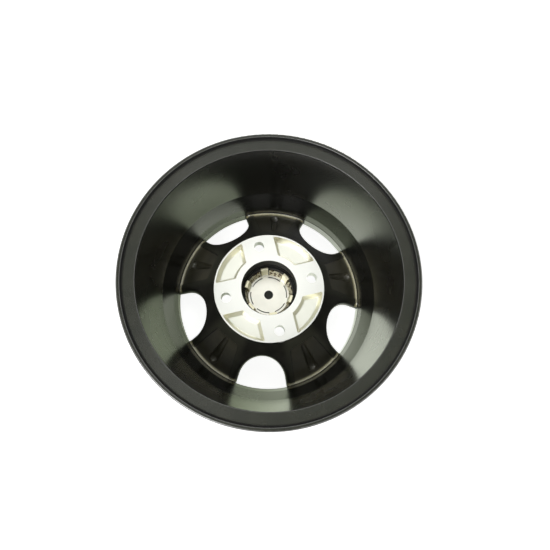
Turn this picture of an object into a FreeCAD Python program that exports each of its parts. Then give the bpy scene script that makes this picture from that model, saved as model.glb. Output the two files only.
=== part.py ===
"""Cast ATV wheel, 12 inch by 7 inch on a 4 x 110 mm bolt circle, with its snap-in centre cap.

Frame: the wheel lies on its outboard flange, +Z is its axis and points inboard, towards the vehicle.
The origin is on the axis in the plane of the machined hub pad. +X runs through one lug hole and the
spoke in line with it. All sizes are in millimetres; depths are measured down from the pad plane.
"""
import FreeCAD, Part
import math
import os
import re

import Sketcher

SIZES = {
    # Rim: flanges and bead seats
    "flange_radius": 166.5,
    "back_space": 72.0,
    "front_space": 105.8,
    "flange_thickness": 8.0,
    "flange_height": 14.5,
    "seat_length": 20.0,
    "seat_rise": 1.6,
    "hump_rise": 1.0,
    "hump_half": 3.0,
    # Rim: stepped inboard lip and plain outboard lip
    "ring_width": 4.2,
    "ring_draft": 1.3,
    "ring_step": 4.5,
    "band_width": 13.7,
    "lip_width": 10.5,
    "lip_slope": 9.2,
    "lip_drop": 5.8,
    "lip_draft": 0.6,
    "lip_wall": 4.0,
    # Rim: barrel, drop centre and outboard dish, each stepping in and down from the one before
    "wall": 5.0,
    "barrel_lead": 9.0,
    "barrel_top_inset": 3.6,
    "barrel_inset": 15.4,
    "barrel_depth": 23.5,
    "ledge_inset": 11.1,
    "ledge_drop": 23.1,
    "well_rise": 1.5,
    "well_lead": 5.4,
    "well_length": 12.0,
    "ramp_inset": 2.6,
    "dish_inset": 8.0,
    "dish_lead": 5.7,
    # Spoke disc
    "valley_inset": 4.2,
    "valley_drop": 14.8,
    "front_inset": 2.3,
    "front_drop": 11.6,
    # Hub, with the bore that the cap snaps into
    "lug_circle_radius": 55.0,
    "lug_margin": 13.8,
    "pad_height": 3.0,
    "bore_margin": 20.3,
    "bore_depth": 20.0,
    "relief_step": 1.0,
    "relief_length": 5.0,
    "shoulder_step": 3.4,
    "boss_wall": 7.7,
    "boss_draft": 2.0,
    "boss_depth": 46.0,
    "hub_thickness": 27.0,
    "hub_flare": 4.2,
    # Edge rounds of the turned profile
    "tip_round": 1.5,
    "curl_round": 4.0,
    "bead_round": 6.0,
    "edge_round": 0.6,
    "foot_round": 0.7,
    "valley_round": 3.0,
    "soft_round": 8.0,
    "nose_round": 3.0,
    "hub_round": 5.0,
    # Windows
    "spoke_count": 5.0,
    "window_rim": 0.9,
    "window_lead": 13.7,
    "window_fill": 0.791,
    "window_back_round": 6.0,
    "window_front_round": 3.0,
    # Recessed panel and tapered groove on the back of each spoke
    "panel_lead": 9.7,
    "panel_inner_half": 17.4,
    "strip_width": 10.9,
    "panel_depth": 1.8,
    "panel_bury": 2.0,
    "groove_lead": 13.7,
    "groove_margin": 10.3,
    "groove_inner_round": 3.3,
    "groove_outer_round": 6.8,
    # Lug holes with cone seats, and the pockets between the lug arms
    "lug_count": 4.0,
    "lug_hole_radius": 6.25,
    "lug_land": 14.0,
    "lug_seat_radius": 11.0,
    "lug_seat_height": 8.2,
    "lug_well_radius": 14.5,
    "arm_half_width": 20.5,
    "bore_wall": 8.3,
    "pocket_rim": 2.0,
    "pocket_depth": 11.0,
    "pocket_draft_angle": 18.0,
    "pocket_corner_round": 1.4,
    "pocket_floor_round": 1.2,
    # Valve hole through the ramp of the drop centre
    "valve_radius": 5.75,
    "valve_reach": 16.0,
    # Cap
    "cap_clearance": 0.4,
    "cap_recess": 0.4,
    "cap_flange_inset": 1.0,
    "cap_flange_edge": 2.0,
    "cap_slope": 12.0,
    "cap_rise": 6.5,
    "cap_edge_round": 1.2,
    "cap_front_round": 12.0,
    "cap_core_radius": 6.0,
    "cap_core_depth": 4.0,
    "cap_slot_inset": 7.5,
    "cap_slot_width": 1.2,
    "cap_slot_depth": 2.2,
    "cap_slot_angle": 42.0,
    "cap_leg_count": 6.0,
    "cap_turn_angle": -2.3,
    "skirt_wall": 3.9,
    "skirt_lean": 2.6,
    "skirt_height": 12.5,
    "skirt_angle": 36.0,
    "leg_thickness": 5.5,
    "leg_lean": 2.8,
    "leg_angle": 18.0,
    "leg_rise": 2.4,
    "hook_reach": 1.6,
    "hook_clearance": 0.2,
}

ORIGIN = FreeCAD.Vector(0, 0, 0)
UP = FreeCAD.Vector(0, 0, 1)
FULL_TURN = 360
# The ends of a sketch curve and its centre, and the sketch's own origin and upright axis
START, STOP, CENTRE = range(1, 4)
ROOT, UPRIGHT = range(-1, -3, -1)
# How edges are told apart: how near one lies to the line it follows, the least length of one that is
# rounded, how far it may stand from the level asked for, and how many of its spots are tried
NEAR = 0.05
SHORT_EDGE = 1.0
LEVEL_BAND = 4.0
SPOTS = 5

doc = FreeCAD.newDocument("atv_wheel")
sheet = doc.addObject("Spreadsheet::Sheet", "Dimensions")
for row, (name, size) in enumerate(SIZES.items(), start=1):
    sheet.set(f"A{row}", name)
    sheet.set(f"B{row}", str(size))
    sheet.setAlias(f"B{row}", name)
doc.recompute()


def value(total):
    """The number that an expression in named sizes, such as "wall + barrel_lead", comes to."""
    return sheet.evalExpression(total) if total else 0.0


def formula(total):
    """The same expression for an object that reads the spreadsheet."""
    return re.sub("[a-z_]+", lambda word: f"Dimensions.{word[0]}" if word[0] in SIZES else word[0], total)


def new_body(label):
    body = doc.addObject("PartDesign::Body", label)
    body.Label = label
    return body


def origin_feature(body, role):
    return next(feature for feature in body.Origin.OriginFeatures if feature.Role == role)


def new_sketch(body, name, role="XZ_Plane"):
    sketch = body.newObject("Sketcher::SketchObject", name)
    sketch.AttachmentSupport = (origin_feature(body, role), [""])
    sketch.MapMode = "FlatFace"
    return sketch


def bind(sketch, kind, total, *points):
    """Add a dimension between sketch points and tie it to a sum of named sizes."""
    index = sketch.addConstraint(Sketcher.Constraint(kind, *points, value(total)))
    sketch.setExpression(f"Constraints[{index}]", formula(total))


def place(sketch, corner, geometry, end):
    """Tie one end of a sketch curve to a corner given as two sums; an empty sum lies on the axis."""
    across, up = corner
    if across:
        bind(sketch, "DistanceX", across, ROOT, START, geometry, end)
    else:
        sketch.addConstraint(Sketcher.Constraint("PointOnObject", geometry, end, UPRIGHT))
    if up:
        bind(sketch, "DistanceY", up, ROOT, START, geometry, end)
    else:
        sketch.addConstraint(Sketcher.Constraint("PointOnObject", geometry, end, ROOT))


def point(corner):
    return FreeCAD.Vector(value(corner[0]), value(corner[1]), 0)


def polygon(sketch, corners):
    """Draw a closed outline of straight lines whose corners are sums of named sizes."""
    first = sketch.GeometryCount
    ends = corners[1:] + corners[:1]
    for start, stop in zip(corners, ends):
        sketch.addGeometry(Part.LineSegment(point(start), point(stop)))
    count = len(corners)
    for index in range(count):
        after = first + (index + 1) % count
        sketch.addConstraint(Sketcher.Constraint("Coincident", first + index, STOP, after, START))
        place(sketch, corners[index], first + index, START)


def revolve(body, name, sketch, kind="PartDesign::Revolution", angle=None, axis="V_Axis"):
    """Turn a sketch about its own vertical axis, all round or centred on the sketch by a named angle."""
    feature = body.newObject(kind, name)
    feature.Profile = sketch
    feature.ReferenceAxis = (sketch, [axis])
    feature.Angle = FULL_TURN
    if angle:
        feature.Midplane = True
        feature.setExpression("Angle", f"Dimensions.{angle}")
    doc.recompute()
    return feature


def cut_through(body, name, sketch):
    """Cut a sketch through the whole body, both ways along the wheel's axis."""
    before = body.Tip.Shape.Volume
    pocket = body.newObject("PartDesign::Pocket", name)
    pocket.Profile = sketch
    pocket.Type = "ThroughAll"
    pocket.Midplane = True
    doc.recompute()
    if not pocket.Shape.Volume < before:
        raise RuntimeError(f"{name} cut nothing")
    return pocket


def repeat(body, name, features, count):
    """Repeat features evenly about the wheel's axis."""
    pattern = body.newObject("PartDesign::PolarPattern", name)
    pattern.Originals = features
    pattern.Axis = (origin_feature(body, "Z_Axis"), [""])
    pattern.Angle = FULL_TURN
    pattern.setExpression("Occurrences", f"Dimensions.{count}")
    body.Tip = pattern
    doc.recompute()
    return pattern


def round_edges(body, name, chosen, size):
    """Round the edges of the body's last feature that the chosen function accepts."""
    base = body.Tip
    edges = [f"Edge{index}" for index, edge in enumerate(base.Shape.Edges, start=1) if chosen(edge)]
    if not edges:
        raise RuntimeError(f"{name}: no edge found")
    fillet = body.newObject("PartDesign::Fillet", name)
    fillet.Base = (base, edges)
    fillet.setExpression("Radius", f"Dimensions.{size}")
    doc.recompute()
    return fillet


def ring_at(corners):
    """A test for full circles that lie on the turned corners given."""
    places = [(value(across), value(up)) for across, up in corners]

    def chosen(edge):
        if not isinstance(edge.Curve, Part.Circle):
            return False
        size = edge.Curve.Radius
        height = edge.Curve.Center.z
        return any(abs(size - across) < NEAR and abs(height - up) < NEAR for across, up in places)

    return chosen


# Wheel casting: the radii and levels that its half section steps through
BEAD = "flange_radius - flange_height"
SEAT = BEAD + " - seat_rise"
HUMP = SEAT + " + hump_rise"
RING = "flange_radius - ring_width"
LIP = "flange_radius - lip_width"
BARREL = BEAD + " - barrel_inset"
LEDGE = BARREL + " - ledge_inset"
VALLEY = LEDGE + " - valley_inset"
PAD = "lug_circle_radius + lug_margin"
BORE = "lug_circle_radius - bore_margin"
RELIEF = BORE + " - relief_step"
CAP_BORE = BORE + " - shoulder_step"
BOSS = CAP_BORE + " + boss_wall"

TOP = "back_space + flange_thickness"
BAND_LEVEL = TOP + " - ring_step"
HUMP_IN_LEVEL = "back_space - seat_length - hump_half"
BARREL_LEVEL = "- barrel_depth"
LEDGE_LEVEL = BARREL_LEVEL + " - ledge_drop"
WELL_LEVEL = LEDGE_LEVEL + " - well_lead"
VALLEY_LEVEL = LEDGE_LEVEL + " - valley_drop"
FRONT_LEVEL = VALLEY_LEVEL + " - front_drop"
HUMP_OUT_LEVEL = "- front_space + seat_length + hump_half"
RAMP_LEVEL = HUMP_OUT_LEVEL + " + hump_half"
BOTTOM = "- front_space - flange_thickness"
LIP_LEVEL = BOTTOM + " + lip_drop"
SHOULDER_LEVEL = "- bore_depth - relief_length"

# Its corners, from the inboard lip down the outside and back up through the hub
ring_inner = (RING, TOP)
tip_in = ("flange_radius", TOP)
curl_in = ("flange_radius", "back_space")
heel_in = (BEAD, "back_space")
seat_in = (SEAT, "back_space - seat_length")
hump_in = (HUMP, HUMP_IN_LEVEL)
barrel_start = (BEAD + " - barrel_top_inset", HUMP_IN_LEVEL + " - barrel_lead")
barrel_outer = (BARREL + " + wall", BARREL_LEVEL)
ledge_outer = (LEDGE + " + wall", LEDGE_LEVEL)
well_top = (LEDGE + " + well_rise", WELL_LEVEL)
well_foot = (LEDGE + " + well_rise", WELL_LEVEL + " - well_length")
ramp_top = (BEAD + " - ramp_inset", RAMP_LEVEL)
hump_out = (HUMP, HUMP_OUT_LEVEL)
seat_out = (SEAT, "- front_space + seat_length")
heel_out = (BEAD, "- front_space")
curl_out = ("flange_radius", "- front_space")
tip_out = ("flange_radius", BOTTOM)
lip_face = (LIP, BOTTOM)
lip_edge = (LIP + " - lip_slope", LIP_LEVEL)
lip_wall = (LIP + " - lip_slope - lip_draft", LIP_LEVEL + " + lip_wall")
dish = (BEAD + " - dish_inset", RAMP_LEVEL + " - dish_lead")
spoke_front = (VALLEY + " - front_inset", FRONT_LEVEL)
hub_front = (PAD + " + hub_flare", "- hub_thickness")
boss_root = (BOSS + " + boss_draft", "- hub_thickness")
boss_edge = (BOSS, "- boss_depth")
boss_mouth = (CAP_BORE, "- boss_depth")
shoulder_inner = (CAP_BORE, SHOULDER_LEVEL)
shoulder_outer = (RELIEF, SHOULDER_LEVEL)
relief_top = (RELIEF, "- bore_depth")
bore_foot = (BORE, "- bore_depth")
bore_mouth = (BORE, "")
pad_edge = (PAD, "")
pad_foot = (PAD, "- pad_height - panel_depth")
valley = (VALLEY, VALLEY_LEVEL)
ledge = (LEDGE, LEDGE_LEVEL)
barrel = (BARREL, BARREL_LEVEL)
band_edge = (RING + " - ring_draft - band_width", BAND_LEVEL)
ring_foot = (RING + " - ring_draft", BAND_LEVEL)

wheel = new_body("wheel_casting")
section = new_sketch(wheel, "Section")
polygon(section, [
    ring_inner, tip_in, curl_in, heel_in, seat_in, hump_in,
    barrel_start, barrel_outer, ledge_outer, well_top, well_foot, ramp_top,
    hump_out, seat_out, heel_out, curl_out, tip_out, lip_face, lip_edge, lip_wall,
    dish, spoke_front, hub_front, boss_root, boss_edge, boss_mouth,
    shoulder_inner, shoulder_outer, relief_top, bore_foot, bore_mouth, pad_edge, pad_foot,
    valley, ledge, barrel, band_edge, ring_foot,
])
revolve(wheel, "Turned", section)

round_edges(wheel, "TipRounds", ring_at([tip_in, tip_out]), "tip_round")
round_edges(wheel, "CurlRounds", ring_at([curl_in, curl_out, lip_face]), "curl_round")
round_edges(wheel, "BeadRounds", ring_at([heel_in, heel_out, lip_edge]), "bead_round")
round_edges(wheel, "LipEdges", ring_at([ring_inner, band_edge, boss_edge, shoulder_inner]), "edge_round")
round_edges(wheel, "LipFoot", ring_at([ring_foot]), "foot_round")
round_edges(wheel, "ValleyRound", ring_at([valley]), "valley_round")
round_edges(wheel, "HubRounds", ring_at([boss_root, hub_front]), "hub_round")
round_edges(wheel, "OuterRounds", ring_at([barrel_start, barrel_outer, well_foot]), "soft_round")
round_edges(wheel, "InnerRounds", ring_at([barrel, ledge]), "nose_round")

# Spoke backs: a raised layer over the cone of the disc, open at the panel of each spoke
layer = new_body("spoke_layer")
layer_section = new_sketch(layer, "LayerSection")
layer_start = (PAD, "- pad_height")
layer_end = (VALLEY, VALLEY_LEVEL + " + panel_depth")
polygon(layer_section, [
    (PAD + " - panel_bury", "- pad_height"),
    layer_start,
    layer_end,
    (VALLEY, VALLEY_LEVEL + " - panel_bury"),
    (PAD + " - panel_bury", "- pad_height - panel_depth - panel_bury"),
])
revolve(layer, "LayerRing", layer_section)
WINDOW_OUTER = VALLEY + " + window_rim"
WINDOW_INNER = PAD + " + window_lead"
WINDOW_ROUND = f"window_fill * ({WINDOW_OUTER} - ({WINDOW_INNER}))"
WINDOW_CENTRE = f"{WINDOW_INNER} + {WINDOW_ROUND}"
SPOKE_HALF = f"({LEDGE}) * tan(180 deg / spoke_count - asin({WINDOW_ROUND} / ({WINDOW_CENTRE})))"
PANEL_INNER = PAD + " + panel_lead"
PANEL_HALF = SPOKE_HALF + " - strip_width"
panel_plan = new_sketch(layer, "PanelPlan", "XY_Plane")
polygon(panel_plan, [
    (PANEL_INNER, "- panel_inner_half"),
    (LEDGE, f"- ({PANEL_HALF})"),
    (LEDGE, PANEL_HALF),
    (PANEL_INNER, "panel_inner_half"),
])
panel = cut_through(layer, "Panel", panel_plan)
repeat(layer, "Panels", [panel], "spoke_count")

spoke_backs = wheel.newObject("PartDesign::Boolean", "SpokeBacks")
spoke_backs.Type = "Fuse"
spoke_backs.setObjects([layer])
wheel.Tip = spoke_backs
doc.recompute()

# Windows: an arc tangent to two radial sides, closed by an arc about the wheel's axis
window_plan = new_sketch(wheel, "WindowPlan", "XY_Plane")
flare = math.asin(value(WINDOW_ROUND) / value(WINDOW_CENTRE))
inner_circle = Part.Circle(FreeCAD.Vector(-value(WINDOW_CENTRE), 0, 0), UP, value(WINDOW_ROUND))
outer_circle = Part.Circle(ORIGIN, UP, value(WINDOW_OUTER))
half_bow = math.pi / 2 - flare
inner_arc = window_plan.addGeometry(Part.ArcOfCircle(inner_circle, -half_bow, half_bow))
outer_arc = window_plan.addGeometry(Part.ArcOfCircle(outer_circle, math.pi - flare, math.pi + flare))
tangent_reach = value(WINDOW_CENTRE) * math.cos(flare)
for turn, inner_end, outer_end in ((flare, STOP, START), (-flare, START, STOP)):
    heading = FreeCAD.Vector(-math.cos(turn), math.sin(turn), 0)
    wall_line = Part.LineSegment(heading * tangent_reach, heading * value(WINDOW_OUTER))
    wall = window_plan.addGeometry(wall_line)
    window_plan.addConstraint(Sketcher.Constraint("Tangent", inner_arc, inner_end, wall, START))
    window_plan.addConstraint(Sketcher.Constraint("Coincident", wall, STOP, outer_arc, outer_end))
    window_plan.addConstraint(Sketcher.Constraint("PointOnObject", ROOT, START, wall))
window_plan.addConstraint(Sketcher.Constraint("Coincident", outer_arc, CENTRE, ROOT, START))
window_plan.addConstraint(Sketcher.Constraint("PointOnObject", inner_arc, CENTRE, ROOT))
bind(window_plan, "DistanceX", f"- ({WINDOW_CENTRE})", ROOT, START, inner_arc, CENTRE)
bind(window_plan, "Radius", WINDOW_ROUND, inner_arc)
bind(window_plan, "Radius", WINDOW_OUTER, outer_arc)
window = cut_through(wheel, "Window", window_plan)
repeat(wheel, "Windows", [window], "spoke_count")


def between(across, start, stop):
    """The height at a radius on the straight line between two corners of the section."""
    share = (across - value(start[0])) / (value(stop[0]) - value(start[0]))
    return value(start[1]) + share * (value(stop[1]) - value(start[1]))


def on_window(edge, start, stop):
    """Whether an edge follows a window's outline near the face that runs between two section corners."""
    if edge.Length < SHORT_EDGE:
        return False
    sector = 2 * math.pi / value("spoke_count")
    for spot in edge.discretize(SPOTS):
        across = math.hypot(spot.x, spot.y)
        turn = (math.atan2(spot.y, spot.x) - math.pi + sector / 2) % sector - sector / 2
        along = across * math.cos(turn) - value(WINDOW_CENTRE)
        aside = across * math.sin(turn)
        on_arc = abs(math.hypot(along, aside) - value(WINDOW_ROUND)) < NEAR
        on_side = abs(abs(turn) - flare) * across < NEAR
        near_face = abs(spot.z - between(across, start, stop)) < LEVEL_BAND
        if not near_face or not (on_arc or on_side):
            return False
    return True


def window_back(edge):
    return on_window(edge, layer_start, layer_end)


def window_front(edge):
    return on_window(edge, hub_front, spoke_front)


round_edges(wheel, "WindowBacks", window_back, "window_back_round")
round_edges(wheel, "WindowFronts", window_front, "window_front_round")

# Spoke grooves: each is a tapered hollow with ball ends, turned about a line on the floor of its panel
groove_sketch = new_sketch(wheel, "GrooveSection")
floor_line = groove_sketch.addGeometry(Part.LineSegment(point(pad_foot), point(valley)), True)
place(groove_sketch, pad_foot, floor_line, START)
place(groove_sketch, valley, floor_line, STOP)
heading = math.atan2(value(valley[1]) - value(pad_foot[1]), value(valley[0]) - value(pad_foot[0]))
slope = FreeCAD.Vector(math.cos(heading), math.sin(heading), 0)
GROOVE_INNER = PAD + " + groove_lead"
GROOVE_OUTER = VALLEY + " - groove_margin"
centres = [
    FreeCAD.Vector(value(size), between(value(size), pad_foot, valley), 0)
    for size in (GROOVE_INNER, GROOVE_OUTER)
]
rounds = [value("groove_inner_round"), value("groove_outer_round")]
taper = math.asin((rounds[1] - rounds[0]) / centres[0].distanceToPoint(centres[1]))
flank_turn = heading + 1.5 * math.pi - taper
balls = [Part.Circle(centre, UP, size) for centre, size in zip(centres, rounds)]
shoulders = [ball.value(flank_turn) for ball in balls]
tips = [centres[0] - slope * rounds[0], centres[1] + slope * rounds[1]]
inner_ball = groove_sketch.addGeometry(Part.ArcOfCircle(balls[0], heading + math.pi, flank_turn))
outer_ball = groove_sketch.addGeometry(Part.ArcOfCircle(balls[1], flank_turn, heading + 2 * math.pi))
flank = groove_sketch.addGeometry(Part.LineSegment(*shoulders))
core = groove_sketch.addGeometry(Part.LineSegment(*tips))
groove_sketch.addConstraint([
    Sketcher.Constraint("Tangent", inner_ball, STOP, flank, START),
    Sketcher.Constraint("Tangent", flank, STOP, outer_ball, START),
    Sketcher.Constraint("Coincident", inner_ball, START, core, START),
    Sketcher.Constraint("Coincident", outer_ball, STOP, core, STOP),
    Sketcher.Constraint("PointOnObject", inner_ball, START, floor_line),
    Sketcher.Constraint("PointOnObject", outer_ball, STOP, floor_line),
    Sketcher.Constraint("PointOnObject", inner_ball, CENTRE, floor_line),
    Sketcher.Constraint("PointOnObject", outer_ball, CENTRE, floor_line),
])
bind(groove_sketch, "DistanceX", GROOVE_INNER, ROOT, START, inner_ball, CENTRE)
bind(groove_sketch, "DistanceX", GROOVE_OUTER, ROOT, START, outer_ball, CENTRE)
bind(groove_sketch, "Radius", "groove_inner_round", inner_ball)
bind(groove_sketch, "Radius", "groove_outer_round", outer_ball)
groove = revolve(wheel, "Groove", groove_sketch, "PartDesign::Groove", axis="Axis0")
repeat(wheel, "Grooves", [groove], "spoke_count")

# Lug holes: a plain hole from the pad, a 60 degree cone seat and a well for the socket on the outboard side
lug_sketch = new_sketch(wheel, "LugSection")
lug_top = ("lug_circle_radius", "pad_height")
lug_foot = ("lug_circle_radius", "- boss_depth")
lug_axis = lug_sketch.addGeometry(Part.LineSegment(point(lug_top), point(lug_foot)), True)
place(lug_sketch, lug_top, lug_axis, START)
place(lug_sketch, lug_foot, lug_axis, STOP)
SEAT_MOUTH = "- lug_land - lug_seat_height"
polygon(lug_sketch, [
    lug_top,
    ("lug_circle_radius + lug_hole_radius", "pad_height"),
    ("lug_circle_radius + lug_hole_radius", "- lug_land"),
    ("lug_circle_radius + lug_seat_radius", SEAT_MOUTH),
    ("lug_circle_radius + lug_well_radius", SEAT_MOUTH),
    ("lug_circle_radius + lug_well_radius", "- boss_depth"),
    lug_foot,
])
lug = revolve(wheel, "Lug", lug_sketch, "PartDesign::Groove", axis="Axis0")
repeat(wheel, "Lugs", [lug], "lug_count")

# Pad pockets: drafted hollows between the four lug arms
pocket_plan = new_sketch(wheel, "PocketPlan", "XY_Plane")
POCKET_INNER = BORE + " + bore_wall"
POCKET_OUTER = PAD + " - pocket_rim"
half_width = value("arm_half_width")
arcs = []
reaches = []
for size in (POCKET_INNER, POCKET_OUTER):
    lean = math.asin(half_width / value(size))
    circle = Part.Circle(ORIGIN, UP, value(size))
    arc = pocket_plan.addGeometry(Part.ArcOfCircle(circle, lean, math.pi / 2 - lean))
    pocket_plan.addConstraint(Sketcher.Constraint("Coincident", arc, CENTRE, ROOT, START))
    bind(pocket_plan, "Radius", size, arc)
    bind(pocket_plan, "DistanceY", "arm_half_width", ROOT, START, arc, START)
    bind(pocket_plan, "DistanceX", "arm_half_width", ROOT, START, arc, STOP)
    arcs.append(arc)
    reaches.append(value(size) * math.cos(lean))
arm_sides = [
    (START, [FreeCAD.Vector(reach, half_width) for reach in reaches]),
    (STOP, [FreeCAD.Vector(half_width, reach) for reach in reaches]),
]
for arc_end, ends in arm_sides:
    arm_side = pocket_plan.addGeometry(Part.LineSegment(*ends))
    for line_end, arc in zip((START, STOP), arcs):
        pocket_plan.addConstraint(Sketcher.Constraint("Coincident", arm_side, line_end, arc, arc_end))
pocket = wheel.newObject("PartDesign::Pocket", "PadPocket")
pocket.Profile = pocket_plan
pocket.Type = "Length"
pocket.setExpression("Length", "Dimensions.pocket_depth")
pocket.setExpression("TaperAngle", "-Dimensions.pocket_draft_angle")
doc.recompute()
repeat(wheel, "PadPockets", [pocket], "lug_count")


def on_pocket(edge, high):
    """Whether an edge between the lug arms runs from the height given down to the pocket floors."""
    heights = sorted(vertex.Z for vertex in edge.Vertexes)
    middle = edge.CenterOfMass
    inside = value(POCKET_INNER) < math.hypot(middle.x, middle.y) < value(PAD)
    return inside and abs(heights[0] + value("pocket_depth")) < NEAR and abs(heights[-1] - high) < NEAR


def pocket_corner(edge):
    return on_pocket(edge, 0.0)


def pocket_floor(edge):
    return on_pocket(edge, -value("pocket_depth"))


round_edges(wheel, "PocketCorners", pocket_corner, "pocket_corner_round")
round_edges(wheel, "PocketFloors", pocket_floor, "pocket_floor_round")

# Valve hole: square to the ramp of the drop centre, in the middle of a window
valve_sketch = new_sketch(wheel, "ValveSection")
ramp_start = (f"- ({well_foot[0]})", well_foot[1])
ramp_stop = (f"- ({ramp_top[0]})", ramp_top[1])
along = (point(ramp_stop) - point(ramp_start)).normalize()
square = FreeCAD.Vector(-along.y, along.x, 0)
middle = (point(ramp_start) + point(ramp_stop)) * 0.5
ends = [middle + square * value("valve_reach"), middle - square * value("valve_reach")]
flanks = [end + along * value("valve_radius") for end in ends]
valve_axis = valve_sketch.addGeometry(Part.LineSegment(*ends), True)
ramp_line = valve_sketch.addGeometry(Part.LineSegment(point(ramp_start), point(ramp_stop)), True)
place(valve_sketch, ramp_start, ramp_line, START)
place(valve_sketch, ramp_stop, ramp_line, STOP)
valve_sketch.addConstraint(Sketcher.Constraint("Symmetric", ramp_line, START, ramp_line, STOP, valve_axis))
corners = [ends[0], flanks[0], flanks[1], ends[1]]
sides = [
    valve_sketch.addGeometry(Part.LineSegment(start, stop))
    for start, stop in zip(corners, corners[1:] + corners[:1])
]
for side, following in zip(sides, sides[1:] + sides[:1]):
    valve_sketch.addConstraint(Sketcher.Constraint("Coincident", side, STOP, following, START))
valve_sketch.addConstraint([
    Sketcher.Constraint("Coincident", sides[0], START, valve_axis, START),
    Sketcher.Constraint("Coincident", sides[2], STOP, valve_axis, STOP),
    Sketcher.Constraint("Parallel", sides[0], ramp_line),
    Sketcher.Constraint("Parallel", sides[2], ramp_line),
])
for end in (START, STOP):
    bind(valve_sketch, "Distance", "valve_reach", valve_axis, end, ramp_line)
bind(valve_sketch, "Distance", "valve_radius", sides[0])
bind(valve_sketch, "Distance", "valve_radius", sides[2])
revolve(wheel, "ValveHole", valve_sketch, "PartDesign::Groove", axis="Axis0")

# Centre cap: a domed disc whose flange seats on the boss, with a skirt and six snap legs on its back
cap = new_body("centre_cap")
CAP_OUTER = CAP_BORE + " - cap_clearance"
CAP_FLANGE = BOSS + " - cap_flange_inset"
DISC_LEVEL = "- boss_depth + cap_recess"
CORE_LEVEL = DISC_LEVEL + " - cap_core_depth"
BASE_LEVEL = DISC_LEVEL + " - cap_slot_depth"
CAP_LEVEL = "- boss_depth - cap_rise"
cap_edge = (CAP_FLANGE, "- boss_depth - cap_flange_edge")
cap_front = (CAP_FLANGE + " - cap_slope", CAP_LEVEL)
disc = new_sketch(cap, "CapDisc")
polygon(disc, [
    ("", CORE_LEVEL),
    ("cap_core_radius", CORE_LEVEL),
    ("cap_core_radius", DISC_LEVEL),
    (CAP_OUTER, DISC_LEVEL),
    (CAP_OUTER, "- boss_depth"),
    (CAP_FLANGE, "- boss_depth"),
    cap_edge,
    cap_front,
    ("", CAP_LEVEL),
])
revolve(cap, "CapTurned", disc)
round_edges(cap, "CapEdge", ring_at([cap_edge]), "cap_edge_round")
round_edges(cap, "CapFront", ring_at([cap_front]), "cap_front_round")

SLOT = CAP_OUTER + " - cap_slot_inset"
slot_section = new_sketch(cap, "SlotSection")
polygon(slot_section, [
    (SLOT, BASE_LEVEL),
    (SLOT + " + cap_slot_width", BASE_LEVEL),
    (SLOT + " + cap_slot_width", DISC_LEVEL + " + cap_clearance"),
    (SLOT, DISC_LEVEL + " + cap_clearance"),
])
slot = revolve(cap, "Slot", slot_section, "PartDesign::Groove", "cap_slot_angle")
repeat(cap, "Slots", [slot], "cap_leg_count")

SKIRT = CAP_OUTER + " - skirt_wall"
skirt_section = new_sketch(cap, "SkirtSection")
polygon(skirt_section, [
    (SKIRT, BASE_LEVEL),
    (CAP_OUTER, BASE_LEVEL),
    (CAP_OUTER, DISC_LEVEL + " + skirt_height"),
    (SKIRT + " + skirt_lean", DISC_LEVEL + " + skirt_height"),
    (SKIRT, DISC_LEVEL),
])
skirt = revolve(cap, "Skirt", skirt_section, angle="skirt_angle")
repeat(cap, "Skirts", [skirt], "cap_leg_count")

LEG = CAP_OUTER + " - leg_thickness"
HOOK_LEVEL = SHOULDER_LEVEL + " + hook_clearance"
LEG_LEVEL = SHOULDER_LEVEL + " + leg_rise"
leg_section = new_sketch(cap, "LegSection", "YZ_Plane")
polygon(leg_section, [
    (LEG, BASE_LEVEL),
    (CAP_OUTER, BASE_LEVEL),
    (CAP_OUTER, HOOK_LEVEL),
    (CAP_BORE + " + hook_reach", HOOK_LEVEL),
    (CAP_BORE, LEG_LEVEL),
    (LEG + " + leg_lean", LEG_LEVEL),
    (LEG, DISC_LEVEL),
])
leg = revolve(cap, "Leg", leg_section, angle="leg_angle")
repeat(cap, "Legs", [leg], "cap_leg_count")
cap.Placement = FreeCAD.Placement(ORIGIN, FreeCAD.Rotation(UP, value("cap_turn_angle")))
cap.setExpression("Placement.Rotation.Angle", "Dimensions.cap_turn_angle")
doc.recompute()

# Every feature has to be sound before anything is written
for item in doc.Objects:
    if "Invalid" in item.State or "Error" in item.State:
        raise RuntimeError(f"{item.Label} failed: {item.State}")

os.makedirs("parts", exist_ok=True)
for body in (wheel, cap):
    if body.Shape.isNull() or not body.Shape.isValid() or len(body.Shape.Solids) != 1:
        raise RuntimeError(f"{body.Label} isn't one sound solid")
    body.Shape.exportStep(f"parts/{body.Label}.step")
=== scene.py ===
import math

import bpy
from mathutils import Matrix, Vector


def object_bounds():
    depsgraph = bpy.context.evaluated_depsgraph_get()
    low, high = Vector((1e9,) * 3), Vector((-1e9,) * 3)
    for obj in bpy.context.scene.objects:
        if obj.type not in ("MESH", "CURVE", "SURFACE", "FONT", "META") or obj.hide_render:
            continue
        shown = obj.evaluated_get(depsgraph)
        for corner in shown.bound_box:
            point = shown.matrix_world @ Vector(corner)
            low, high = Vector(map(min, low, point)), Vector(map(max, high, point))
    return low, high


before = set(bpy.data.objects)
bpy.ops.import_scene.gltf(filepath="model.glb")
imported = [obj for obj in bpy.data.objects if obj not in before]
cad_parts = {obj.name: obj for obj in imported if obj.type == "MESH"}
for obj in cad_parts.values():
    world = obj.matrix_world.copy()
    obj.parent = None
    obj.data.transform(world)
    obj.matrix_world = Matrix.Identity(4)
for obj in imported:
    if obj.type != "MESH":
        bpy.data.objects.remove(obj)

cad_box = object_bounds()


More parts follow.
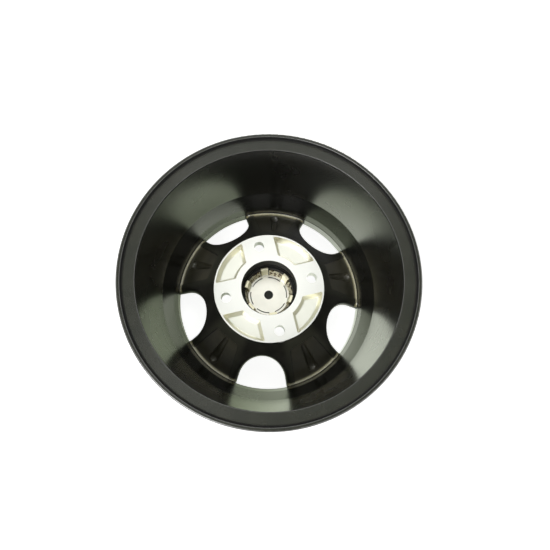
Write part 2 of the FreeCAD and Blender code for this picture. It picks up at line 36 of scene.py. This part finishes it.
# Wheel casting: one aluminium casting whose rim is turned on a lathe and which is then painted satin black
# all over. The hub pad and the lug seats are faced bare afterwards, and the pockets between the lug arms
# are bare castings, so one material tells the finishes apart by where the surface lies.
def new_material(name):
    """A material whose node tree is still empty."""
    material = bpy.data.materials.new(name)
    material.use_nodes = True
    material.node_tree.nodes.clear()
    return material


def new_group(name, inputs, outputs):
    """An empty group, with the sockets that its nodes read and the sockets that they fill."""
    group = bpy.data.node_groups.new(name, "ShaderNodeTree")
    for socket, kind in inputs.items():
        group.interface.new_socket(socket, in_out="INPUT", socket_type=kind)
    for socket, kind in outputs.items():
        group.interface.new_socket(socket, in_out="OUTPUT", socket_type=kind)
    return group, group.nodes.new("NodeGroupInput").outputs, group.nodes.new("NodeGroupOutput").inputs


def use_group(tree, group, **values):
    """Put a group into a node tree with its inputs set, and give its outputs."""
    node = tree.nodes.new("ShaderNodeGroup")
    node.node_tree = group
    for name, value in values.items():
        node.inputs[name].default_value = value
    return node.outputs


def math_node(tree, operation, *operands):
    """One step of arithmetic on sockets or plain numbers."""
    node = tree.nodes.new("ShaderNodeMath")
    node.operation = operation
    for socket, operand in zip(node.inputs, operands):
        if isinstance(operand, (int, float)):
            socket.default_value = operand
        else:
            tree.links.new(operand, socket)
    return node.outputs["Value"]


def distance(tree, across, along):
    """The length of the slanted side over two sides that are square to each other."""
    squares = [math_node(tree, "MULTIPLY", side, side) for side in (across, along)]
    return math_node(tree, "SQRT", math_node(tree, "ADD", *squares))


def axes_of(tree, kind, name):
    """The X, Y and Z outputs of a vector that a new node of this kind puts out."""
    node = tree.nodes.new("ShaderNodeSeparateXYZ")
    tree.links.new(tree.nodes.new(kind).outputs[name], node.inputs["Vector"])
    return node.outputs


def both(tree, *masks):
    """A mask that is set only where all the masks given are set."""
    whole = masks[0]
    for mask in masks[1:]:
        whole = math_node(tree, "MULTIPLY", whole, mask)
    return whole


def either(tree, first, second):
    """A mask that is set where one mask or the other is set."""
    return math_node(tree, "MAXIMUM", first, second)


def opposite(tree, mask):
    """A mask that is set where the mask given isn't."""
    return math_node(tree, "SUBTRACT", 1.0, mask)


def within(tree, socket, low, high):
    """A mask of the surface where a socket lies between two numbers."""
    above = math_node(tree, "GREATER_THAN", socket, low)
    below = math_node(tree, "LESS_THAN", socket, high)
    return both(tree, above, below)


def rise(tree, socket, start, stop):
    """A mask that goes smoothly from 0 where the socket is at start to 1 where it is at stop."""
    node = tree.nodes.new("ShaderNodeMapRange")
    node.interpolation_type = "SMOOTHSTEP"
    node.inputs["From Min"].default_value = start
    node.inputs["From Max"].default_value = stop
    tree.links.new(socket, node.inputs["Value"])
    return node.outputs["Result"]


def blend(tree, mask, first, second):
    """Go from the first colour or number to the second by a mask; each is a socket or written out."""
    kind = "RGBA" if isinstance(second, tuple) or getattr(second, "type", "") == "RGBA" else "VALUE"
    node = tree.nodes.new("ShaderNodeMix")
    node.data_type = "RGBA" if kind == "RGBA" else "FLOAT"
    tree.links.new(mask, node.inputs["Factor"])
    for name, ingredient in (("A", first), ("B", second)):
        socket = next(entry for entry in node.inputs if entry.name == name and entry.type == kind)
        if isinstance(ingredient, tuple):
            socket.default_value = (*ingredient, 1.0)
        elif isinstance(ingredient, (int, float)):
            socket.default_value = ingredient
        else:
            tree.links.new(ingredient, socket)
    return next(entry for entry in node.outputs if entry.type == kind)


relief_depth = 0.0002


def surface(tree, color, roughness, metallic, height, relief):
    """The shader of a material, with its relief, linked to the output; gives the shader's inputs."""
    shader = tree.nodes.new("ShaderNodeBsdfPrincipled")
    bump = tree.nodes.new("ShaderNodeBump")
    bump.inputs["Strength"].default_value = relief
    bump.inputs["Distance"].default_value = relief_depth
    output = tree.nodes.new("ShaderNodeOutputMaterial")
    tree.links.new(color, shader.inputs["Base Color"])
    tree.links.new(roughness, shader.inputs["Roughness"])
    tree.links.new(metallic, shader.inputs["Metallic"])
    tree.links.new(height, bump.inputs["Height"])
    tree.links.new(bump.outputs["Normal"], shader.inputs["Normal"])
    tree.links.new(shader.outputs["BSDF"], output.inputs["Surface"])
    return shader.inputs


wheel_place, _, found = new_group(
    "wheel_place", {}, dict.fromkeys(("Across", "Along", "Radius", "Height"), "NodeSocketFloat"))
tree = wheel_place
place = axes_of(tree, "ShaderNodeTexCoord", "Object")
tree.links.new(place["X"], found["Across"])
tree.links.new(place["Y"], found["Along"])
tree.links.new(distance(tree, place["X"], place["Y"]), found["Radius"])
tree.links.new(place["Z"], found["Height"])

mottle_detail = 3.0
mottle, given, found = new_group("mottle", {"Scale": "NodeSocketFloat"}, {"Mottle": "NodeSocketFloat"})
tree = mottle
cloud = tree.nodes.new("ShaderNodeTexNoise")
cloud.inputs["Detail"].default_value = mottle_detail
tree.links.new(tree.nodes.new("ShaderNodeTexCoord").outputs["Object"], cloud.inputs["Vector"])
tree.links.new(given["Scale"], cloud.inputs["Scale"])
tree.links.new(cloud.outputs["Fac"], found["Mottle"])

film_scale = 60.0
film_patches = (0.35, 0.7)
settling_tilts = (0.2, 0.9)
film, given, found = new_group("dust_film", {"Amount": "NodeSocketFloat"}, {"Dust": "NodeSocketFloat"})
tree = film
facing = axes_of(tree, "ShaderNodeNewGeometry", "Normal")
patches = use_group(tree, mottle, Scale=film_scale)["Mottle"]
level = rise(tree, facing["Z"], *settling_tilts)
settled = both(tree, level, rise(tree, patches, *film_patches))
tree.links.new(math_node(tree, "MULTIPLY", settled, given["Amount"]), found["Dust"])

# Where things lie on the casting, and how they face
edge = 0.0001
pad_radius = 0.0688
bore_radius = 0.0347
pocket_depth = 0.011
lug_circle_radius = 0.055
lug_well_radius = 0.0145
lug_seat_depth = 0.0222
valley_radius = 0.1213
valley_depth = 0.0614
valley_width = 0.0045
valley_blur = 0.0015
corner_reach = 0.0022
corner_samples = 8
corner_openness = (0.6, 0.97)
spoke_count = 5
panel_start = 0.0785
panel_half_width = 0.0174
panel_flare = 0.3702
spoke_margin = 0.012
facing_pitch = 0.0009
lip_step_radii = (0.16, 0.1622)
lip_edge_radii = (0.1464, 0.1474)
lip_levels = (0.0735, 0.0797)
inboard_tilts = (-0.2, 0.0)
outside_tilts = (0.7, 0.95)
pocket_floor_tilts = (0.3, 0.9)

# Colours of the casting
rim_black = (0.0018, 0.0018, 0.0015)
cast_black = (0.013, 0.0125, 0.009)
# Painted sheen: the next three paints are lighter than the same paint has outboard, for the inboard faces of
# the spokes and panels; the last adds lighter rubbed patches at random
spoke_sheen = (0.042, 0.043, 0.03)
panel_sheen = (0.04, 0.038, 0.024)
panel_sheen_worn = (0.082, 0.076, 0.047)
# Painted highlight: a pale line along the valley fillet where the spokes meet the rim
valley_highlight_color = (0.72, 0.66, 0.38)
dust_color = (0.22, 0.2, 0.15)
faced_metal = (0.91, 0.91, 0.89)
cast_metal = (0.96, 0.96, 0.89)
# Painted shade: the steep walls of the pockets are darker and more olive than their floors
pocket_wall_shade = (0.84, 0.82, 0.69)
seat_metal = (0.98, 0.98, 0.97)

# How rough, coated and grainy its finishes are
turned_roughness = 0.24
cast_roughness = 0.32
matt_roughness = 0.6
smudge_roughness = 0.06
faced_roughness = 0.34
pocket_roughness = 0.36
seat_roughness = 0.6
ring_roughness = 0.03
coat_roughness = 0.25
coat_ior = 2.1
panel_coat = 0.35
paint_film = 0.06
grain_scale = 1400.0
peel_scale = 700.0
smudge_scale = 16.0
worn_smudges = (0.35, 0.65)
valley_highlight_grain = (0.1, 0.6)
peel_relief = 0.3
ring_relief = 0.12
casting_relief = 0.14

casting = new_material("painted_casting")
tree = casting.node_tree
here = use_group(tree, wheel_place)
radius, height = here["Radius"], here["Height"]
facing = axes_of(tree, "ShaderNodeNewGeometry", "Normal")

# Where each finish lies
sides = [math_node(tree, "ABSOLUTE", here[name]) for name in ("Across", "Along")]
far_side = math_node(tree, "MAXIMUM", *sides)
near_side = math_node(tree, "MINIMUM", *sides)
past_lug = math_node(tree, "SUBTRACT", far_side, lug_circle_radius)
from_lug = distance(tree, past_lug, near_side)
lug_seat = both(tree, math_node(tree, "LESS_THAN", from_lug, lug_well_radius - edge),
                math_node(tree, "GREATER_THAN", height, -lug_seat_depth - edge))
pad = both(tree, within(tree, radius, bore_radius + edge, pad_radius - edge),
           math_node(tree, "GREATER_THAN", height, -pocket_depth - edge))
bare = either(tree, pad, lug_seat)
sunk = math_node(tree, "LESS_THAN", height, -edge)
pocket = both(tree, sunk, opposite(tree, lug_seat))
as_cast = math_node(tree, "LESS_THAN", radius, valley_radius)
turn = math_node(tree, "ARCTAN2", here["Along"], here["Across"])
share = math_node(tree, "MULTIPLY", turn, spoke_count / (2 * math.pi))
from_spoke = math_node(tree, "SUBTRACT", share, math_node(tree, "ROUND", share))
from_spoke = math_node(tree, "MULTIPLY", from_spoke, 2 * math.pi / spoke_count)
outward = math_node(tree, "MULTIPLY", radius, math_node(tree, "COSINE", from_spoke))
beside = math_node(tree, "ABSOLUTE", math_node(tree, "MULTIPLY", radius, math_node(tree, "SINE", from_spoke)))
past_start = math_node(tree, "SUBTRACT", outward, panel_start)
panel_side = math_node(tree, "MULTIPLY_ADD", past_start, panel_flare, panel_half_width)
inboard = rise(tree, facing["Z"], *inboard_tilts)
panel = both(tree, inboard, math_node(tree, "GREATER_THAN", past_start, 0.0),
             math_node(tree, "LESS_THAN", beside, panel_side))
off_panel = rise(tree, math_node(tree, "SUBTRACT", beside, panel_side), 0.0, spoke_margin)
spoke_face = both(tree, inboard, opposite(tree, off_panel))
valley = both(tree, rise(tree, radius, valley_radius - valley_width, valley_radius - valley_blur),
              within(tree, height, -valley_depth - edge, -valley_depth + valley_width),
              math_node(tree, "LESS_THAN", radius, valley_radius + edge))
lip_rings = [within(tree, radius, *radii) for radii in (lip_step_radii, lip_edge_radii)]
lip_lines = both(tree, either(tree, *lip_rings), within(tree, height, *lip_levels))
leans = [math_node(tree, "MULTIPLY", facing[axis], here[name])
         for axis, name in (("X", "Across"), ("Y", "Along"))]
from_axis = math_node(tree, "DIVIDE", math_node(tree, "ADD", *leans), radius)
outside = rise(tree, from_axis, *outside_tilts)

# Paint: smooth on the turned rim, grainy and rubbed on the rough spokes, matt in the step of the lip
grain = use_group(tree, mottle, Scale=grain_scale)["Mottle"]
peel = use_group(tree, mottle, Scale=peel_scale)["Mottle"]
smudge = use_group(tree, mottle, Scale=smudge_scale)["Mottle"]
# Painted shade: an occlusion probe finds the inside corners, which go to the darkest paint and lose the coat
# on the rim
corner = tree.nodes.new("ShaderNodeAmbientOcclusion")
corner.only_local = True
corner.samples = corner_samples
corner.inputs["Distance"].default_value = corner_reach
unshaded_face = rise(tree, corner.outputs["AO"], *corner_openness)
# Painted sheen: the inboard faces of the spokes and the panels on them are lighter than the paint outboard,
# the panels with lighter rubbed patches at random
panel_paint = blend(tree, rise(tree, smudge, *worn_smudges), panel_sheen, panel_sheen_worn)
cast_paint = blend(tree, spoke_face, cast_black, spoke_sheen)
cast_paint = blend(tree, panel, cast_paint, panel_paint)
# Painted highlight: a pale grainy line along the valley fillet
valley_highlight = both(tree, valley, rise(tree, grain, *valley_highlight_grain))
cast_paint = blend(tree, valley_highlight, cast_paint, valley_highlight_color)
# Painted shade: the inside corners darken to the rim's black
cast_paint = blend(tree, unshaded_face, rim_black, cast_paint)
bore = math_node(tree, "LESS_THAN", radius, bore_radius + edge)
turned = either(tree, bore, opposite(tree, as_cast))
paint = blend(tree, turned, cast_paint, rim_black)
paint = blend(tree, use_group(tree, film, Amount=paint_film)["Dust"], paint, dust_color)
paint_roughness = blend(tree, as_cast, turned_roughness, cast_roughness)
matt = either(tree, bore, lip_lines)
paint_roughness = blend(tree, matt, paint_roughness, matt_roughness)
paint_roughness = math_node(tree, "MULTIPLY_ADD", smudge, smudge_roughness, paint_roughness)

# Bare metal: fine rings left by the facing tool on the pad, cast grain in the pockets
rings = math_node(tree, "SINE", math_node(tree, "MULTIPLY", radius, 2 * math.pi / facing_pitch))
rings = math_node(tree, "MULTIPLY", rings, opposite(tree, sunk))
# Painted shade: the steep walls of the pockets are darker and more olive than their floors
pocket_floor = rise(tree, facing["Z"], *pocket_floor_tilts)
pocket_metal = blend(tree, pocket_floor, pocket_wall_shade, cast_metal)
metal = blend(tree, pocket, faced_metal, pocket_metal)
sunk_seat = both(tree, lug_seat, sunk)
metal = blend(tree, sunk_seat, metal, seat_metal)
metal_roughness = blend(tree, pocket, faced_roughness, pocket_roughness)
metal_roughness = blend(tree, sunk_seat, metal_roughness, seat_roughness)
metal_roughness = math_node(tree, "MULTIPLY_ADD", rings, ring_roughness, metal_roughness)

paint_relief = blend(tree, as_cast, math_node(tree, "MULTIPLY", peel, peel_relief), grain)
metal_relief = blend(tree, pocket, math_node(tree, "MULTIPLY", rings, ring_relief), grain)

# Coat: full inside the rim and in the valley with its painted highlight, weak on the panels, none outside
rim = opposite(tree, either(tree, as_cast, bare))
uncoated = either(tree, outside, lip_lines)
coated_rim = both(tree, rim, unshaded_face, opposite(tree, uncoated))
coated_panel = math_node(tree, "MULTIPLY", both(tree, panel, as_cast), panel_coat)
coat = either(tree, coated_rim, coated_panel)
coat = either(tree, coat, valley)

color = blend(tree, bare, paint, metal)
roughness = blend(tree, bare, paint_roughness, metal_roughness)
relief = blend(tree, bare, paint_relief, metal_relief)
shader = surface(tree, color, roughness, bare, relief, casting_relief)
shader["Coat Roughness"].default_value = coat_roughness
shader["Coat IOR"].default_value = coat_ior
tree.links.new(coat, shader["Coat Weight"])

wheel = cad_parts["wheel_casting"]
wheel.data.materials.clear()
wheel.data.materials.append(casting)


# Centre cap: a plastic moulding plated bright all over, pushed in from the outboard side until its six
# legs snap over the shoulder of the bore. Its blind core and the slots round its disc are dark, as painted
# shade in these recesses. Its raised legs and skirt carry painted reflections in cream, and inside the skirt
# between the legs painted reflections in brown and dark blotches; these marks are matt and not metallic.
disc_height = -0.0456
core_radius = 0.006
slot_radii = (0.0233, 0.0247)
dark_depth = 0.005
skirt_radius = 0.0262
leg_count = 6
leg_middle = 0.5
leg_half_turn = 0.16
cap_turn = math.radians(-2.3)
bright_plating = (0.97, 0.95, 0.88)
# Painted reflections: cream on the raised legs and skirt, brown and dark blotches inside the skirt between
# the legs
cream_reflection = (0.95, 0.9, 0.68)
brown_reflection = (0.3, 0.19, 0.06)
dark_reflection = (0.02, 0.016, 0.01)
# Painted shade: the dark in the blind core and the slots round the disc
recess_shade_color = (0.03, 0.034, 0.028)
reflection_scale = 260.0
speckle_scale = 900.0
brown_reflection_blotches = (0.5, 0.56)
dark_reflection_blotches = (0.58, 0.62)
cream_reflection_specks = (0.6, 0.7)
cap_film = 0.08
plated_roughness = 0.36
painted_light_roughness = 0.5
cap_relief = 0.06

plating = new_material("cap_plating")
tree = plating.node_tree
here = use_group(tree, wheel_place)
radius, height = here["Radius"], here["Height"]

# Painted shade: the surfaces just under the disc in the core and the slots are dark
below_disc = within(tree, height, disc_height - dark_depth, disc_height - edge)
core = both(tree, below_disc, math_node(tree, "LESS_THAN", radius, core_radius + edge))
slots = both(tree, below_disc, within(tree, radius, slot_radii[0] - edge, slot_radii[1] + edge))
recess_shade = either(tree, core, slots)
turn = math_node(tree, "ARCTAN2", here["Along"], here["Across"])
share = math_node(tree, "MULTIPLY", math_node(tree, "SUBTRACT", turn, cap_turn), leg_count / (2 * math.pi))
past_middle = math_node(tree, "SUBTRACT", math_node(tree, "FRACT", share), leg_middle)
from_leg = math_node(tree, "ABSOLUTE", past_middle)
raised = both(tree, math_node(tree, "GREATER_THAN", radius, skirt_radius),
              math_node(tree, "GREATER_THAN", height, disc_height + edge))
skirt = both(tree, raised, math_node(tree, "GREATER_THAN", from_leg, leg_half_turn))
# Painted reflections inside the skirt between the legs: cream broken by brown and dark blotches and cream
# specks
reflection_blotches = use_group(tree, mottle, Scale=reflection_scale)["Mottle"]
speckle = use_group(tree, mottle, Scale=speckle_scale)["Mottle"]
skirt_reflection = blend(tree, rise(tree, reflection_blotches, *brown_reflection_blotches), cream_reflection, brown_reflection)
skirt_reflection = blend(tree, rise(tree, reflection_blotches, *dark_reflection_blotches), skirt_reflection, dark_reflection)
skirt_reflection = blend(tree, rise(tree, speckle, *cream_reflection_specks), skirt_reflection, cream_reflection)
# Painted reflection: the raised legs and skirt are cream against the bright disc
finish = blend(tree, raised, bright_plating, cream_reflection)
finish = blend(tree, skirt, finish, skirt_reflection)
finish = blend(tree, use_group(tree, film, Amount=cap_film)["Dust"], finish, dust_color)
finish = blend(tree, recess_shade, finish, recess_shade_color)
# The painted reflections and the painted shade are matt and not metallic
painted_light_mask = either(tree, skirt, recess_shade)
roughness = blend(tree, painted_light_mask, plated_roughness, painted_light_roughness)
surface(tree, finish, roughness, opposite(tree, painted_light_mask), speckle, cap_relief)

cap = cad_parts["centre_cap"]
cap.data.materials.clear()
cap.data.materials.append(plating)


# Floor and backdrop: a wide pale sheet under the wheel and a round wall far about it, white to the camera.
# In reflections the sheet fades under the wheel towards the left of the picture, with which it is turned, as
# a painted shadow tinted green, and shows a painted pool of light on the right. Both add the light that falls
# on them, so that the wheel's shadow stays.
floor_gap = 0.0001
floor_level = cad_box[0][2] - floor_gap
floor_half = 4.0
backdrop_height = 5.0
backdrop_sides = 96
fade_start, fade_stop = -0.05, 0.06
past_radii = (0.15, 0.18)
full_glow = 0.9
# Painted shadow and painted pool of light, seen only in reflections: dim under the wheel away from the
# windows, full towards them
reflected_shadow_glow = 0.28
reflected_light_glow = 1.0
card_white = (0.8, 0.8, 0.8)
white = (1.0, 1.0, 1.0)
shaded_white = (0.86, 1.0, 0.66)
window_white = (0.94, 1.0, 0.84)
picture_angle = math.radians(-13.25)
picture_turn = Matrix.Rotation(picture_angle, 4, "Z")
bpy.ops.mesh.primitive_plane_add(size=2 * floor_half)
floor = bpy.context.object
floor.name = "floor"
floor.matrix_world = Matrix.Translation((0.0, 0.0, floor_level)) @ picture_turn
sheet = new_material("pale_floor")
tree = sheet.node_tree
card = tree.nodes.new("ShaderNodeBsdfDiffuse")
card.inputs["Color"].default_value = (*card_white, 1.0)
ray = tree.nodes.new("ShaderNodeLightPath")
here = use_group(tree, wheel_place)
window_side = rise(tree, here["Across"], fade_start, fade_stop)
past_wheel = rise(tree, here["Radius"], *past_radii)
# Painted shadow under the wheel on the left and painted pool of light on the right, only for reflected rays
reflected_light_and_shadow = blend(tree, window_side, reflected_shadow_glow, reflected_light_glow)
mirrored = both(tree, ray.outputs["Is Glossy Ray"], blend(tree, past_wheel, reflected_light_and_shadow, full_glow))
seen = either(tree, ray.outputs["Is Camera Ray"], ray.outputs["Is Transmission Ray"])
seen = math_node(tree, "MULTIPLY", seen, full_glow)
glow = tree.nodes.new("ShaderNodeEmission")
mirrored_white = blend(tree, window_side, shaded_white, window_white)
mirrored_white = blend(tree, past_wheel, mirrored_white, white)
tree.links.new(blend(tree, ray.outputs["Is Glossy Ray"], white, mirrored_white), glow.inputs["Color"])
tree.links.new(either(tree, seen, mirrored), glow.inputs["Strength"])
lit = tree.nodes.new("ShaderNodeAddShader")
output = tree.nodes.new("ShaderNodeOutputMaterial")
tree.links.new(card.outputs["BSDF"], lit.inputs[0])
tree.links.new(glow.outputs["Emission"], lit.inputs[1])
tree.links.new(lit.outputs["Shader"], output.inputs["Surface"])
bpy.ops.mesh.primitive_cylinder_add(
    vertices=backdrop_sides, radius=floor_half, depth=2 * backdrop_height, end_fill_type="NOTHING",
    location=(0.0, 0.0, floor_level))
backdrop = bpy.context.object
backdrop.name = "backdrop"
for stage in (floor, backdrop):
    stage.data.materials.append(sheet)


# Light: an even room, a soft box over the hub and a wider one at the lower left of the picture. Both hang
# where the flat lip of the rim doesn't mirror them.
room_color = (0.9, 1.0, 0.66)
room_strength = 0.16
scene = bpy.context.scene
scene.view_settings.view_transform = "Standard"
room = bpy.data.worlds.new("room")
room.use_nodes = True
air = room.node_tree.nodes["Background"]
air.inputs["Color"].default_value = (*room_color, 1.0)
air.inputs["Strength"].default_value = room_strength
scene.world = room

for name, spot, size, power in (
    ("hub_box", (0.02, 0.34, 1.4), 0.6, 2.1),
    ("side_box", (-0.8, -0.9, 1.4), 1.1, 17.0),
):
    soft_box = bpy.data.lights.new(name, "AREA")
    soft_box.shape = "SQUARE"
    soft_box.size = size
    soft_box.energy = power
    lamp = bpy.data.objects.new(name, soft_box)
    scene.collection.objects.link(lamp)
    lamp.location = picture_turn @ Vector(spot)
    lamp.rotation_euler = (-lamp.location).to_track_quat("-Z", "Y").to_euler()


# Camera: the photo's view, down into the inboard side
eye = Vector((-0.0092, -0.1311, 0.5838))
aim = Vector((0.0074, 0.0160, 0.0))
roll = math.radians(-0.39)
focal_pixels = 480
picture_pixels = 550
forward = (aim - eye).normalized()
right = forward.cross(Vector((0.0, 1.0, 0.0))).normalized()
up = right.cross(forward)
view = Matrix((right, up, -forward)).transposed().to_4x4()
lens = bpy.data.cameras.new("camera")
lens.lens = focal_pixels / picture_pixels * lens.sensor_width
camera = bpy.data.objects.new("camera", lens)
scene.collection.objects.link(camera)
camera.matrix_world = picture_turn @ Matrix.Translation(eye) @ view @ Matrix.Rotation(roll, 4, "Z")
scene.camera = camera
